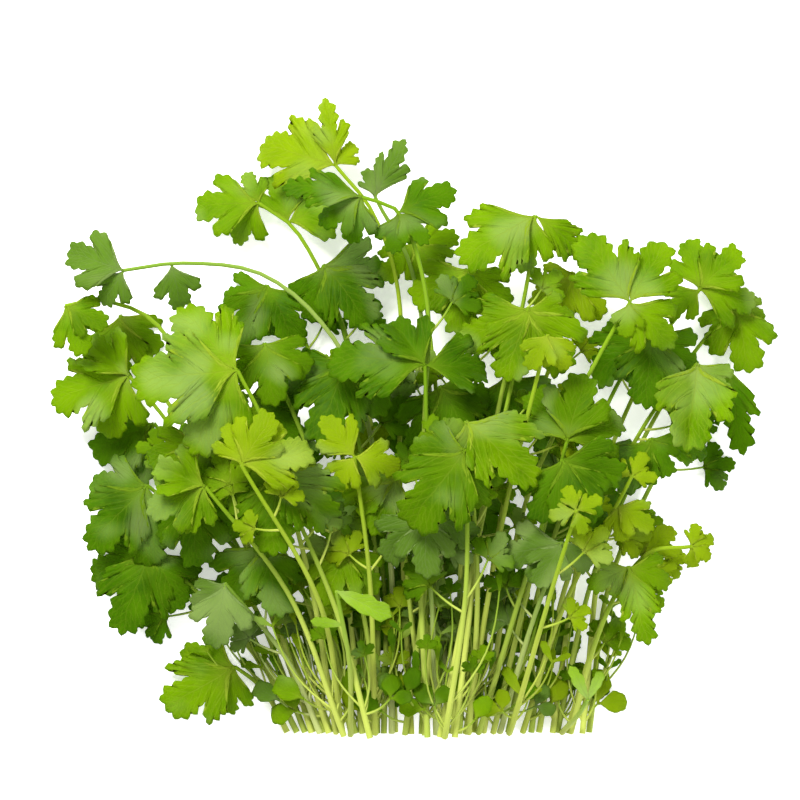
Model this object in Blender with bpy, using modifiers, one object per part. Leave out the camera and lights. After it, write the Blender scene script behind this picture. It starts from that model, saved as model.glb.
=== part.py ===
"""Cilantro bunch laid down: a loose fan of thin stems, each with its lobed leaf as one solid."""

import math
import random
from collections import namedtuple

import bpy
import bmesh
import numpy as np
from mathutils.bvhtree import BVHTree

MM = 0.001

# Middle of the bunch, in millimetres from the middle of its cut line: the origin goes under it
MIDDLE = (1.65, 124.6)

# Thin things, in millimetres
STALK_RADIUS = 1.25
TIP_RADIUS = 0.74
LEAST_RINGS = 5
BLADE_THICKNESS = 0.66
GAP = 0.34
ROOT_SINK = 0.3
TIP_OVERLAP = 0.5
FLAT_OF_HEX = math.cos(math.radians(30))
PRESS = 0.12
SLACK = 0.01

# How the blades hang, in degrees
BEND_RANGE = (22, 48)
BACK_PITCH = 16
CUP_RANGE = (12, 32)
FOLD_RANGE = (-4, 12)
SHARP_FOLD = 34
PITCH_STAGGER = (15, 0, 1, 9, -5, 5, 0)
SPREAD = 4
LOW_BEND = 9
LOW_PITCH = 5
RIPPLE = 0.035

# Search for a clear height, in millimetres
LATE_CLIMB = 1.7
EARLIER_PER_MM = 0.016
LIFT_STEP = 1.0
LIFT_REACH = 60
SINK_REACH = 12
SINK_COST = 2
CUT_Y = -3
BASE_STEP = 0.9
BASE_REACH = 32
BASE_SHIFTS = (0, 1.3, -1.3, 2.6, -2.6, 4, -4)
FOOT_COST = 0.6

# Leaflet outline as angle from the midrib and distance from the root, for a leaflet one unit long
LARGE_LEAFLET = ((13, 0.94), (20, 0.60), (31, 0.85), (41, 0.62), (49, 0.60))
LEAFLET = ((13, 0.94), (20, 0.60), (32, 0.85), (49, 0.61))
SMALL_LEAFLET = ((13, 0.95), (21, 0.60), (37, 0.82))
SEED_LEAF = ((9, 0.8), (16, 0.5))
LARGE = 30
SMALL = 13
SLIM = 0.55
MIDRIB = (0.34, 0.68)
WAIST = math.radians(27)
WAIST_REACH = 0.23
WAIST_GAP = 0.04
TIP_GROWTH = (0.95, 1.03)
EDGE_GROWTH = (0.93, 1.05)
HUB_RADIUS = 1.1
HUB_SPREAD = math.radians(60)
OPEN_SIDE = math.radians(130)

# Each stem: name, x of its cut end, height of its leaf, way points ending at the tip,
# leaflets as (distance back from the tip, heading, length, form) with the middle one first,
# upward turn of the blades, look
STEMS = (
    ("low_left", -46, 0, ((-62, 28), (-84, 52), (-105, 72)),
     ((0, 250, 36), (0, 204, 31), (0, 300, 28)), 10, "dark"),
    ("left_fall", -44, 0, ((-64, 50), (-88, 82), (-106, 98)),
     ((0, 224, 36), (0, 270, 34), (0, 176, 25)), 14, "dark"),
    ("foot_leaf", -50, 0, ((-56, 9), (-62, 17), (-71, 24)),
     ((0, 210, 33), (0, 164, 24), (0, 256, 22)), 8, "fresh"),
    ("back_arch", -20, 0, ((-24, 90), (-40, 150), (-58, 179)),
     ((0, 300, 28), (0, 240, 27), (0, 195, 20), (162, 140, 22, "low")), 14, "dark"),
    ("back_left", -42, 0, ((-74, 90), (-104, 140), (-118, 167)),
     ((0, 265, 30), (0, 318, 22)), 14, "fresh"),
    ("broad_back", -14, 0, ((-14, 80), (-22, 140), (-35, 187)),
     ((0, 312, 33), (0, 355, 28), (0, 258, 24), (160, 52, 25, "low"), (160, 128, 23, "low"),
      (180, 38, 17, "low")), 10, "dark"),
    ("mid_back", 12, 0, ((13, 60), (22, 96)),
     ((0, 252, 31), (0, 304, 29), (70, 50, 26, "low"), (70, 126, 25, "low"),
      (38, 64, 24, "low"), (38, 124, 24, "low"), (89, 142, 17, "low")), 10, "dark"),
    ("right_back", 52, 0, ((58, 60), (74, 113)),
     ((0, 280, 28), (0, 325, 26), (88, 124, 26, "low"), (88, 52, 20, "low"),
      (106, 134, 18, "low")), 10, "dark"),
    ("dark_left", -39, 6, ((-58, 50), (-84, 96), (-104, 123)),
     ((0, 205, 28), (0, 252, 28)), 14, "dark"),
    ("inner_left", -32, 10, ((-54, 50), (-88, 93)),
     ((0, 278, 29), (0, 325, 26), (0, 234, 23)), 12, "dark"),
    ("front_gap", -8, 6, ((-10, 50), (-16, 98)),
     ((0, 232, 29), (0, 284, 30)), 10, "dark"),
    ("edge_right", 70, 4, ((80, 80), (108, 140), (132, 172)),
     ((0, 284, 29), (0, 240, 22), (0, 336, 16)), 24, "fresh"),
    ("narrow_right", 73, 6, ((82, 60), (110, 120), (129, 147)),
     ((0, 280, 36, "slim"),), 10, "dark"),
    ("upper_left", -6, 12, ((-10, 90), (-25, 156), (-44, 198), (-61, 212)),
     ((0, 178, 27), (0, 112, 15), (14, 104, 22), (14, 26, 25), (0, 232, 20)), 20, "fresh"),
    ("crown_back", -2, 20, ((-4, 100), (-4, 170), (-14, 206), (-30, 227)),
     ((0, 98, 27, "slim"), (0, 162, 35), (0, 50, 13)), 8, "young"),
    ("crown_fold", 14, 24, ((10, 110), (2, 180), (-14, 214)),
     ((0, 64, 25, "slim"), (0, 104, 12)), 14, "pale"),
    ("back_top", 10, 14, ((12, 100), (8, 160), (2, 196)),
     ((0, 312, 22), (0, 228, 20), (0, 12, 18)), 20, "fresh"),
    ("left_cluster", -40, 22, ((-62, 66), (-94, 118), (-113, 142)),
     ((0, 194, 34), (0, 138, 22, "folded"), (0, 248, 27)), 16, "fresh"),
    ("young_curl", 26, 16, ((38, 90), (58, 150), (66, 184)),
     ((0, 250, 28), (0, 302, 22), (0, 198, 16)), 20, "young"),
    ("shade_left", -24, 28, ((-40, 80), (-64, 134)),
     ((0, 322, 27), (0, 14, 25)), 14, "dark"),
    ("shade_mid", -12, 22, ((-14, 70), (-26, 148)),
     ((0, 252, 35), (0, 206, 26), (0, 308, 27)), 12, "dark"),
    ("mid_right", 20, 24, ((28, 80), (38, 142)),
     ((0, 262, 31), (0, 314, 30)), 12, "dark"),
    ("core", 6, 28, ((8, 70), (12, 138)),
     ((0, 302, 30), (0, 250, 28), (0, 350, 22)), 12, "dark"),
    ("far_right", 58, 20, ((72, 84), (98, 150), (117, 177)),
     ((0, 48, 24), (0, 100, 21), (0, 352, 25), (0, 214, 18)), 20, "fresh"),
    ("arching_pair", 15, 30, ((22, 90), (27, 150), (23, 185)),
     ((0, 262, 28), (0, 206, 27), (0, 322, 23)), 20, "fresh"),
    ("hook", -37, 34, ((-52, 54), (-80, 122), (-100, 161), (-122, 172), (-138, 170)),
     ((0, 296, 21), (0, 338, 18)), 14, "fresh"),
    ("arch", -10, 40, ((-8, 70), (-20, 134), (-36, 164), (-60, 183), (-90, 187), (-114, 184)),
     ((0, 160, 25), (0, 236, 18), (19, 284, 20)), 8, "pale"),
    ("ash_left", -34, 34, ((-50, 28), (-74, 59)),
     ((0, 262, 26), (0, 215, 17)), 8, "pale"),
    ("low_mid", -22, 30, ((-34, 40), (-59, 75)),
     ((0, 286, 30), (0, 236, 28)), 12, "dark"),
    ("upper_fan", -18, 38, ((-30, 80), (-58, 155)),
     ((0, 282, 26), (0, 334, 22), (0, 228, 20)), 18, "fresh"),
    ("low_core", -12, 34, ((-17, 36), (-26, 73)),
     ((0, 250, 24), (0, 200, 22), (0, 308, 22)), 14, "fresh"),
    ("hang_right", 50, 34, ((64, 60), (94, 122), (115, 147)),
     ((0, 262, 36, "folded"), (0, 312, 20)), 8, "fresh"),
    ("dark_right", 40, 36, ((56, 70), (80, 132), (97, 160)),
     ((0, 264, 32), (0, 214, 31), (0, 318, 27)), 18, "dark"),
    ("dip_left", -28, 38, ((-46, 62), (-84, 117)),
     ((0, 252, 27), (0, 300, 29, "folded"), (0, 202, 24)), 14, "fresh"),
    ("mid_left", -16, 42, ((-30, 50), (-53, 104)),
     ((0, 268, 33), (0, 320, 30, "folded"), (0, 218, 26)), 12, "fresh"),
    ("stoop", 3, 40, ((0, 50), (-4, 102)),
     ((0, 242, 26), (0, 196, 25, "folded")), 14, "fresh"),
    ("tall_right", 18, 38, ((32, 110), (45, 170), (49, 194), (50, 206)),
     ((0, 206, 36), (0, 254, 24), (0, 328, 30, "slim")), 24, "fresh"),
    ("reach_right", 64, 42, ((78, 44), (94, 70), (112, 74)),
     ((0, 332, 10), (0, 22, 11), (0, 278, 10), (0, 76, 10), (20, 48, 20), (20, 112, 15)), 10, "young"),
    ("low_right", 68, 42, ((75, 36), (87, 66)),
     ((0, 285, 32, "slim"), (0, 342, 19), (0, 206, 18)), 14, "fresh"),
    ("curl_right", 60, 40, ((74, 62), (96, 117)),
     ((0, 300, 17), (0, 352, 27, "slim"), (0, 236, 24)), 20, "dark"),
    ("grey_mid", 8, 48, ((9, 44), (6, 87)),
     ((0, 272, 25), (0, 226, 26), (0, 338, 25)), 12, "pale"),
    ("umbrella", 7, 46, ((4, 70), (6, 130), (7, 170), (-3, 205), (-19, 213)),
     ((0, 165, 33, "slim"), (0, 205, 21), (0, 252, 19), (16, 320, 17), (16, 30, 25), (16, 262, 17)),
     28, "dark"),
    ("fan_right", 16, 44, ((28, 80), (47, 169)),
     ((0, 252, 32), (0, 205, 31), (0, 302, 29, "folded"), (0, 350, 20)), 16, "fresh"),
    ("long_dark", 2, 52, ((7, 70), (6, 146)),
     ((0, 166, 39), (0, 122, 24, "folded"), (0, 2, 27, "folded")), 28, "dark"),
    ("sprout_right", 46, 50, ((62, 50), (88, 102)),
     ((0, 0, 10), (0, 150, 11), (0, 60, 11), (13, 330, 17), (13, 280, 15)), 10, "young"),
    ("small_left", -28, 50, ((-48, 54), (-81, 98)),
     ((0, 200, 26), (0, 156, 22, "folded"), (0, 246, 19)), 14, "fresh"),
    ("grey_right", 38, 52, ((48, 40), (60, 76)),
     ((0, 240, 21), (0, 192, 25), (0, 318, 17), (24, 60, 9)), 12, "pale"),
    ("tuft_left", -14, 54, ((-16, 60), (-22, 110)),
     ((0, 126, 20), (0, 350, 20), (0, 238, 16)), 14, "young"),
    ("perch_right", 30, 54, ((46, 90), (74, 148), (87, 171)),
     ((0, 124, 32), (0, 62, 28), (0, 318, 25), (0, 262, 14)), 14, "fresh"),
    ("spread_right", 34, 56, ((48, 60), (62, 116)),
     ((0, 76, 29), (0, 122, 28), (0, 26, 28)), 8, "fresh"),
    ("young_mid", 24, 60, ((36, 80), (54, 158)),
     ((0, 240, 16), (0, 302, 16)), 10, "young"),
    ("fold_mid", 20, 60, ((27, 60), (22, 124)),
     ((0, 322, 36, "folded"), (0, 278, 35)), 18, "fresh"),
    ("drop_right", 28, 62, ((44, 54), (60, 109)),
     ((0, 298, 28), (0, 250, 27), (0, 345, 25, "folded")), 14, "dark"),
    ("big_left", -30, 62, ((-40, 60), (-56, 118), (-68, 144)),
     ((0, 184, 42), (0, 132, 36), (0, 240, 36)), 12, "fresh"),
    ("seed_leaf", -20, 60, ((-24, 26), (-29, 57)),
     ((0, 337, 25), (14, 172, 14)), 6, "seed"),
    ("face_mid", 14, 66, ((22, 56), (22, 113)),
     ((0, 232, 39), (0, 282, 25), (0, 176, 23)), 8, "fresh"),
    ("bright_left", -26, 66, ((-36, 52), (-66, 107)),
     ((0, 60, 24), (0, 14, 30), (0, 108, 18)), 8, "young"),
    ("tuft_right", 43, 64, ((54, 50), (65, 89)),
     ((0, 30, 11), (0, 110, 11), (0, 190, 11), (0, 290, 10), (78, 120, 15, "seed")), 10, "young"),
    ("seed_pair", 66, 40, ((68, 6), (71, 13)),
     ((0, 118, 16), (0, 62, 14)), 4, "seed"),
)

Stem = namedtuple("Stem", "name cut_x height way leaflets turn look")

COLOURS = {
    "fresh": (0.12, 0.33, 0.03, 1),
    "dark": (0.06, 0.21, 0.02, 1),
    "young": (0.36, 0.50, 0.05, 1),
    "pale": (0.22, 0.42, 0.12, 1),
    "seed": (0.30, 0.48, 0.12, 1),
}


def clear_scene():
    for thing in list(bpy.data.objects):
        bpy.data.objects.remove(thing)


def smooth_path(points, count):
    """Even points along a curve drawn through the way points."""
    knots = np.array(points, float)
    knots = np.vstack([2 * knots[0] - knots[1], knots, 2 * knots[-1] - knots[-2]])
    dense = []
    for first in range(len(knots) - 3):
        a, b, c, d = knots[first:first + 4]
        for t in np.linspace(0, 1, 24, endpoint=False):
            bow = (2 * a - 5 * b + 4 * c - d) * t * t
            dense.append(0.5 * (2 * b + (c - a) * t + bow + (3 * b - a - 3 * c + d) * t ** 3))
    dense.append(knots[-2])
    dense = np.array(dense)
    run = np.concatenate([[0], np.cumsum(np.linalg.norm(np.diff(dense, axis=0), axis=1))])
    even = np.linspace(0, run[-1], count)
    return np.column_stack([np.interp(even, run, dense[:, k]) for k in range(2)]), run[-1]


def climb(share, height):
    """Share of the rise from cut end to tip: low stems climb late, high ones early, over the leaves below."""
    return share ** (LATE_CLIMB - EARLIER_PER_MM * height)


def stalk_radius(share):
    return STALK_RADIUS + (TIP_RADIUS - STALK_RADIUS) * share ** 0.8


def stalk_line(stem, base_z, tip_z):
    """Points and radii of the stalk from its cut end to its tip, and its length."""
    count = max(LEAST_RINGS, 2 + len(stem.way))
    flat, length = smooth_path(((stem.cut_x, CUT_Y),) + stem.way, count)
    share = np.linspace(0, 1, count)
    z = base_z + (tip_z - base_z) * climb(share, stem.height)
    return np.column_stack([flat - MIDDLE, z]), stalk_radius(share), length


def outline_half(form, length, side, waist, rng):
    """One edge of a flat leaflet from beside its tip down to its waist, as (across, along)."""
    if form == "seed":
        table = SEED_LEAF
    elif length < SMALL:
        table = SMALL_LEAFLET
    else:
        table = LEAFLET if length < LARGE else LARGE_LEAFLET
    edge = []
    for angle, reach in table:
        grown = reach * rng.uniform(*EDGE_GROWTH)
        turn = math.radians(angle + rng.uniform(-1.5, 1.5))
        edge.append((side * grown * math.sin(turn) * length, grown * math.cos(turn) * length))
    reach = WAIST_REACH * length
    edge.append((side * reach * math.sin(waist), reach * math.cos(waist)))
    slim = SLIM if form == "slim" else 1
    return [(across * slim, along) for across, along in edge]


def blade_bend(index, form, name, backward):
    """How one leaflet droops: alike within a leaf, staggered, arched over its own stalk."""
    whole = random.Random(name)
    rng = random.Random(f"{name} {index}")
    bend = whole.uniform(*BEND_RANGE) + rng.uniform(-SPREAD, SPREAD)
    pitch = PITCH_STAGGER[index] + BACK_PITCH * max(0, backward)
    pitch += rng.uniform(-SPREAD, SPREAD) / 2
    if form == "low":
        bend, pitch = LOW_BEND, LOW_PITCH
    sharp = SHARP_FOLD if form == "folded" else 0
    return {
        "bend": math.radians(bend),
        "cup": math.radians(rng.uniform(*CUP_RANGE)),
        "fold": math.radians(rng.uniform(*FOLD_RANGE) + sharp),
        "pitch": math.radians(pitch),
        "phase": rng.uniform(0, 6.28),
        "rng": rng,
    }


def blade_frame(heading, pitch, turn):
    """Direction, side and face normal of a blade at its root."""
    level = math.cos(pitch)
    ahead = np.array((math.cos(heading) * level, math.sin(heading) * level, math.sin(pitch)))
    up = np.array((0, math.sin(turn), math.cos(turn)))
    face = up - ahead * up.dot(ahead)
    face /= np.linalg.norm(face)
    return ahead, np.cross(ahead, face), face


def bent_point(across, along, length, frame, bend):
    """Where a point of the flat leaflet comes to lie once the blade droops, cups, folds and ripples."""
    ahead, side, face = frame
    curve = bend["bend"] / length
    angle = curve * max(along, 0)
    centre = ahead * (math.sin(curve * along) / curve) - face * ((1 - math.cos(angle)) / curve)
    local_face = face * math.cos(angle) + ahead * math.sin(angle)
    cup = bend["cup"] / (0.5 * length)
    wide = side * (math.sin(cup * across) / cup)
    sink = (1 - math.cos(cup * across)) / cup - abs(across) * math.tan(bend["fold"])
    reach = math.hypot(across, along) / length
    around = math.atan2(across, max(along, 1e-6))
    wave = RIPPLE * length * reach * reach * math.sin(5 * around + bend["phase"])
    return centre + wide - local_face * sink + local_face * wave


def fan_faces(tip, ribs, right, left):
    """Triangles of one leaflet from its tip down to its waist."""
    low, high = ribs
    faces = []
    for side, edge in ((1, right), (-1, left)):
        top, cleft = edge[:2]
        fan = [(high, tip, top), (high, top, cleft), (low, high, cleft)]
        rest = edge[1:]
        if len(edge) > 4:
            fan.append((cleft, edge[2], edge[3]))
            rest = [cleft] + edge[3:]
        fan += [(low, one, two) for one, two in zip(rest, rest[1:])]
        faces += fan if side > 0 else [corner[::-1] for corner in fan]
    return faces


def hub_ring(headings, frames):
    """Corners round the place where the leaflets meet, and the pair each leaflet stands on."""
    corners = []
    stands = [[None, None] for heading in headings]
    count = len(headings)
    for one in range(count):
        two = (one + 1) % count
        gap = (headings[two] - headings[one]) % (2 * math.pi) or 2 * math.pi
        ends = [(gap / 2, (one, 0), (two, 1))]
        if gap >= OPEN_SIDE:
            ends = [(HUB_SPREAD, (one, 0)), (gap - HUB_SPREAD, (two, 1))]
        for turn, *users in ends:
            place = np.zeros(3)
            for user, side in users:
                ahead, across, face = frames[user]
                off = turn if user == one and side == 0 else gap - turn
                way_out = -1 if side == 0 else 1
                place += (ahead * math.cos(off) + across * math.sin(off) * way_out) / len(users)
                stands[user][side] = len(corners)
            corners.append(place * HUB_RADIUS)
    return corners, stands


def single_foot(frame):
    """The short edge by which a lone leaflet stands in its stalk."""
    ahead, across, face = frame
    middle = -ahead * ROOT_SINK
    return [middle - across * HUB_RADIUS / 2, middle + across * HUB_RADIUS / 2], [[0, 1]]


def waist_angles(headings, place):
    """How wide a leaflet may be at its waist, to the left and the right, beside its neighbours."""
    angles = []
    for step in (1, -1):
        beside = headings[(place + step) % len(headings)]
        gap = (beside - headings[place]) * step % (2 * math.pi)
        angles.append(min(WAIST, gap / 2 - WAIST_GAP) if gap > 0 else WAIST)
    return angles


def leaf_surface(leaflets, turn, name, onward):
    """Points and triangles of one leaf, its leaflets cut to the rib and joined round their hub."""
    leaflets = sorted(leaflets, key=lambda row: row[1])
    headings = [math.radians(row[1]) for row in leaflets]
    bends = [blade_bend(row[0], row[3], name, -math.cos(heading - onward))
             for row, heading in zip(leaflets, headings)]
    frames = [blade_frame(heading, bend["pitch"], math.radians(turn))
              for heading, bend in zip(headings, bends)]
    points, stands = hub_ring(headings, frames) if len(leaflets) > 1 else single_foot(frames[0])
    faces = [(0, corner + 1, corner) for corner in range(1, len(points) - 1)]
    for place, (index, heading, size, form) in enumerate(leaflets):
        waists = waist_angles(headings, place)
        rng = bends[place]["rng"]
        start = len(points)
        flat = [(0, size * rng.uniform(*TIP_GROWTH))] + [(0, share * size) for share in MIDRIB]
        left = outline_half(form, size, -1, waists[0], rng)
        right = outline_half(form, size, 1, waists[1], rng)
        points += [bent_point(across, along, size, frames[place], bends[place])
                   for across, along in flat + right + left]
        rights = list(range(start + 3, start + 3 + len(right)))
        lefts = [corner + len(right) for corner in rights]
        faces += fan_faces(start, (start + 1, start + 2), rights, lefts)
        left_foot, right_foot = stands[place]
        low = start + 1
        faces += [(low, rights[-1], right_foot), (low, right_foot, left_foot), (low, left_foot, lefts[-1])]
    return np.array(points), faces


def stem_blades(stem):
    """Every leaf of a stem, with the share of the lift it takes part in."""
    line, radii, length = stalk_line(stem, 0, 0)
    knots = np.linspace(0, 1, len(radii))
    onward = math.atan2(*(line[-1] - line[-2])[1::-1])
    plain = "seed" if stem.look == "seed" else "lobed"
    blades = []
    for back in sorted({row[0] for row in stem.leaflets}):
        group = [(index, *row[1:3], (*row, plain)[3])
                 for index, row in enumerate(stem.leaflets) if row[0] == back]
        points, faces = leaf_surface(group, stem.turn, stem.name, onward)
        share = 1 - back / length
        root = [np.interp(share, knots, line[:, axis]) for axis in range(3)]
        rise = np.interp(share, knots, climb(knots, stem.height))
        blades.append((points + np.array(root), faces, rise))
    return blades


def thick_shell(points, faces, thickness):
    """Closed shell round an open blade, for the clearance test."""
    normals = np.zeros_like(points)
    edges = {}
    for a, b, c in faces:
        normal = np.cross(points[b] - points[a], points[c] - points[a])
        for corner in (a, b, c):
            normals[corner] += normal
        for edge in ((a, b), (b, c), (c, a)):
            edges[edge] = edges.get(edge, 0) + 1
    normals /= np.linalg.norm(normals, axis=1)[:, None]
    shell = np.vstack([points + normals * thickness / 2, points - normals * thickness / 2])
    count = len(points)
    closed = list(faces) + [(c + count, b + count, a + count) for a, b, c in faces]
    for a, b in edges:
        if (b, a) not in edges:
            closed += [(b, a, a + count), (b, a + count, b + count)]
    return shell, closed


def stalk_shell(points, radii):
    """Six-sided tube a gap wider than the stalk, for the clearance test."""
    onward = np.gradient(points[:, :2], axis=0)
    onward /= np.linalg.norm(onward, axis=1)[:, None]
    rings = []
    for corner in range(6):
        angle = math.radians(60 * corner)
        off = np.column_stack([-onward[:, 1] * math.cos(angle), onward[:, 0] * math.cos(angle),
                               np.full(len(points), math.sin(angle))])
        rings.append(points + off * (radii + GAP)[:, None])
    shell = np.stack(rings, axis=1).reshape(-1, 3)
    faces = [(6 * ring + k, 6 * ring + (k + 1) % 6, 6 * ring + 6 + (k + 1) % 6, 6 * ring + 6 + k)
             for ring in range(len(points) - 1) for k in range(6)]
    return shell, faces


def meets(laid, shell, faces):
    return bool(laid and laid.overlap(BVHTree.FromPolygons(shell.tolist(), faces)))


def trial_of(stem):
    """What the clearance test needs of a stem: its stalk on the ground and shells round its leaves."""
    line, radii, length = stalk_line(stem, 0, 0)
    shells = []
    for points, faces, share in stem_blades(stem):
        lowest = thick_shell(points, faces, BLADE_THICKNESS)[0][:, 2].min()
        shells.append((*thick_shell(points, faces, BLADE_THICKNESS + 2 * GAP), share, lowest))
    return stem, line, radii, shells


def leaves_clash(laid, shells, base_z, tip_z):
    for shell, faces, share, lowest in shells:
        rise = base_z + (tip_z - base_z) * share
        if lowest + rise < -PRESS - SLACK or meets(laid, shell + np.array((0, 0, rise)), faces):
            return True
    return False


def stalk_clashes(laid, stem, line, radii, base_z, tip_z):
    z = base_z + (tip_z - base_z) * climb(np.linspace(0, 1, len(radii)), stem.height)
    if (z < radii * FLAT_OF_HEX - PRESS - SLACK).any():
        return True
    return meets(laid, *stalk_shell(line + z[:, None] * np.array((0, 0, 1)), radii))


def foot_height(laid, trials, tip_z, most):
    """The trial whose cut end can lie lowest for this height of the tip."""
    open_trials = [trial for trial in trials if not leaves_clash(laid, [trial[3][0]], tip_z, tip_z)]
    for step in range(int(most / BASE_STEP)):
        base_z = STALK_RADIUS * FLAT_OF_HEX - PRESS + step * BASE_STEP
        for stem, line, radii, shells in open_trials:
            if stalk_clashes(laid, stem, line, radii, base_z, tip_z):
                continue
            if not leaves_clash(laid, shells[1:], base_z, tip_z):
                return stem, base_z
    return None


def clear_heights(stem, laid):
    """The stem with its cut end shifted and the heights of its two ends, clear of everything already laid."""
    trials = [trial_of(stem._replace(cut_x=stem.cut_x + shift)) for shift in BASE_SHIFTS]
    lowest_of_tip_leaf = trials[0][3][0][3]
    floor_tip = max(-PRESS - lowest_of_tip_leaf, TIP_RADIUS)
    wanted = max(stem.height, floor_tip)
    tries = [(rise, wanted + rise) for rise in np.arange(0, LIFT_REACH, LIFT_STEP)]
    tries += [(SINK_COST * sink, wanted - sink) for sink in np.arange(LIFT_STEP, SINK_REACH, LIFT_STEP)]
    best = None
    best_cost = math.inf
    for cost, tip_z in sorted(tries):
        if cost >= best_cost:
            break
        if tip_z < floor_tip:
            continue
        found = foot_height(laid, trials, tip_z, min(BASE_REACH, (best_cost - cost) / FOOT_COST))
        if found:
            best_cost = cost + found[1] * FOOT_COST
            best = (*found, tip_z)
    if not best:
        raise RuntimeError("no clear height for " + stem.name)
    return best


def link(name, data, collection):
    thing = bpy.data.objects.new(name, data)
    collection.objects.link(thing)
    return thing


def stalk_object(name, points, radii, collection):
    """Tapered six-sided stalk swept along its line."""
    curve = bpy.data.curves.new(name, "CURVE")
    curve.dimensions = "3D"
    curve.twist_mode = "Z_UP"
    curve.bevel_depth = MM
    curve.bevel_resolution = 1
    curve.use_fill_caps = True
    spline = curve.splines.new("POLY")
    spline.points.add(len(points) - 1)
    for knot, place, radius in zip(spline.points, points, radii):
        knot.co = (*(place * MM), 1)
        knot.radius = radius
    swept = link(name + "_line", curve, collection)
    graph = bpy.context.evaluated_depsgraph_get()
    mesh = bpy.data.meshes.new_from_object(swept.evaluated_get(graph))
    mesh.name = name
    solid = bmesh.new()
    solid.from_mesh(mesh)
    bmesh.ops.remove_doubles(solid, verts=solid.verts, dist=1e-6)
    bmesh.ops.recalc_face_normals(solid, faces=solid.faces)
    solid.to_mesh(mesh)
    solid.free()
    stalk = link(name, mesh, collection)
    stalk.matrix_world = swept.matrix_world
    bpy.data.objects.remove(swept)
    return stalk


def blade_object(name, points, faces, collection):
    mesh = bpy.data.meshes.new(name)
    mesh.from_pydata((points * MM).tolist(), [], faces)
    blade = link(name, mesh, collection)
    solid = blade.modifiers.new("Thickness", "SOLIDIFY")
    solid.thickness = BLADE_THICKNESS * MM
    solid.offset = 0
    solid.use_even_offset = False
    return blade


def applied(thing):
    """The object with its modifiers worked into its mesh."""
    graph = bpy.context.evaluated_depsgraph_get()
    mesh = bpy.data.meshes.new_from_object(thing.evaluated_get(graph))
    mesh.name = thing.name
    thing.modifiers.clear()
    thing.data = mesh
    return thing


def stem_material(name, look):
    material = bpy.data.materials.new(name)
    material.use_nodes = True
    shader = material.node_tree.nodes["Principled BSDF"]
    shader.inputs["Base Color"].default_value = COLOURS[look]
    shader.inputs["Roughness"].default_value = 0.5
    return material


def floor_slab(collection):
    """Slab under the ground, which presses a small flat on whatever rests there."""
    mesh = bpy.data.meshes.new("floor")
    solid = bmesh.new()
    bmesh.ops.create_cube(solid, size=1)
    bmesh.ops.scale(solid, verts=solid.verts, vec=(1, 1, 0.01))
    bmesh.ops.translate(solid, verts=solid.verts, vec=(0, 0, -0.005))
    solid.to_mesh(mesh)
    solid.free()
    slab = link("floor", mesh, collection)
    slab.hide_render = True
    return slab


def build_stem(stem, base_z, tip_z, bunch, floor):
    """One leafy stem: the stalk with all its blades joined into a single solid."""
    points, radii, length = stalk_line(stem, base_z, tip_z)
    onward = points[-1] - points[-2]
    points[-1] += onward / np.linalg.norm(onward) * TIP_OVERLAP
    stalk = stalk_object(stem.name, points, radii, bunch)
    joined = bpy.data.collections.new(stem.name + "_blades")
    bpy.context.scene.collection.children.link(joined)
    for index, (surface, faces, share) in enumerate(stem_blades(stem)):
        lifted = surface + np.array((0, 0, base_z + (tip_z - base_z) * share))
        applied(blade_object(f"{stem.name}_{index}", lifted, faces, joined))
    union = stalk.modifiers.new("Join", "BOOLEAN")
    union.operation = "UNION"
    union.operand_type = "COLLECTION"
    union.collection = joined
    union.solver = "MANIFOLD"
    applied(stalk)
    if min(corner.co.z for corner in stalk.data.vertices) < 0:
        flat = stalk.modifiers.new("Flat", "BOOLEAN")
        flat.operation = "DIFFERENCE"
        flat.object = floor
        flat.solver = "MANIFOLD"
        applied(stalk)
    for blade in list(joined.objects):
        bpy.data.objects.remove(blade)
    bpy.data.collections.remove(joined)
    stalk.data.materials.clear()
    stalk.data.materials.append(stem_material(stem.name + "_look", stem.look))
    return stalk


def main():
    clear_scene()
    bunch = bpy.data.collections.new("cilantro_bunch")
    bpy.context.scene.collection.children.link(bunch)
    floor = floor_slab(bunch)
    laid = None
    corners = []
    faces = []
    for row in STEMS:
        moved, base_z, tip_z = clear_heights(Stem(*row), laid)
        solid = build_stem(moved, base_z, tip_z, bunch, floor)
        start = len(corners)
        corners += [tuple(corner.co / MM) for corner in solid.data.vertices]
        faces += [tuple(start + corner for corner in face.vertices) for face in solid.data.polygons]
        laid = BVHTree.FromPolygons(corners, faces)
    bpy.data.objects.remove(floor)


main()
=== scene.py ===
"""Looks of the cilantro bunch: fine stalks, toothed leaflets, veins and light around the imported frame."""

import math
import random
from collections import namedtuple

import bpy
import bmesh
import numpy as np
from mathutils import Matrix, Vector
from mathutils.bvhtree import BVHTree


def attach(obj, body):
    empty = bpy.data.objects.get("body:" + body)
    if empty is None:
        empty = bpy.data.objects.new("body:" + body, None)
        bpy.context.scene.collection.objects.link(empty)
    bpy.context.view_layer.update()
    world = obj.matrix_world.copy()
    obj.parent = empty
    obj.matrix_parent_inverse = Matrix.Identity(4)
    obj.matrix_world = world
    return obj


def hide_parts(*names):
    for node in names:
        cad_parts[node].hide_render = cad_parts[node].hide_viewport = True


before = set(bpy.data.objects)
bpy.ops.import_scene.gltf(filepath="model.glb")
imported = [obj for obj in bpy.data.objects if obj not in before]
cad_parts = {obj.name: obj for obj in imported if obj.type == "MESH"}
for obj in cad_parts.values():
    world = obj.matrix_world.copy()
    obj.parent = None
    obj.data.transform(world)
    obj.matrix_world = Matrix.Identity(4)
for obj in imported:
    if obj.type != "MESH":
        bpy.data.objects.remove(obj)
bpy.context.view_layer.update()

Stem = namedtuple("Stem", "name cut_x height way leaflets turn look")
Leaflet = namedtuple("Leaflet", "index heading size back form")
Look = namedtuple("Look", "leaf deep under glow stalk slot")
Shoots = namedtuple("Shoots", "count start turn length rise bow leaflets form size radii")

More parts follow.
